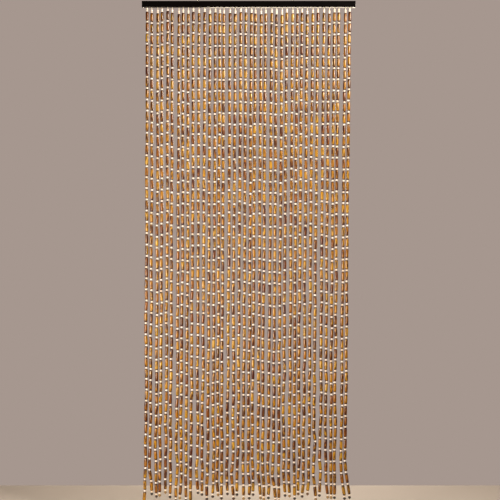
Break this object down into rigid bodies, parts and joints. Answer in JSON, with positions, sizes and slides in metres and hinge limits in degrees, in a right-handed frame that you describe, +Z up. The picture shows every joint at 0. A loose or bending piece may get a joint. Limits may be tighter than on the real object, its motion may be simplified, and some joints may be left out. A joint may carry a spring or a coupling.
{
  "type": "bead curtain with header rail",
  "caption": "Door curtain of straight strands of bamboo tubes and cream spacer beads, hung from a black wooden rail that carries screw eyes on its top edge.",
  "frame": {"origin": "middle of the header rail's flat back face", "axes": "+X along the rail, to the right as seen from the front; +Y out of the rail's back, towards the wall; +Z up; the strands hang down -Z"},
  "size_m": [0.9, 0.015, 2.1381],
  "materials": {
    "rail": "black gloss lacquer on planed softwood",
    "eyes": "bright zinc plate",
    "bamboo": "scorched and lacquered bamboo",
    "spacer": "cream lacquer on turned wood",
    "end_bead": "stained and lacquered turned wood",
    "thread": "twisted thread"
  },
  "bodies": {
    "root": {"header_rail": "rail", "screw_eye_left": "eyes", "screw_eye_right": "eyes", "bead_strands": "bamboo"}
  },
  "joints": []
}
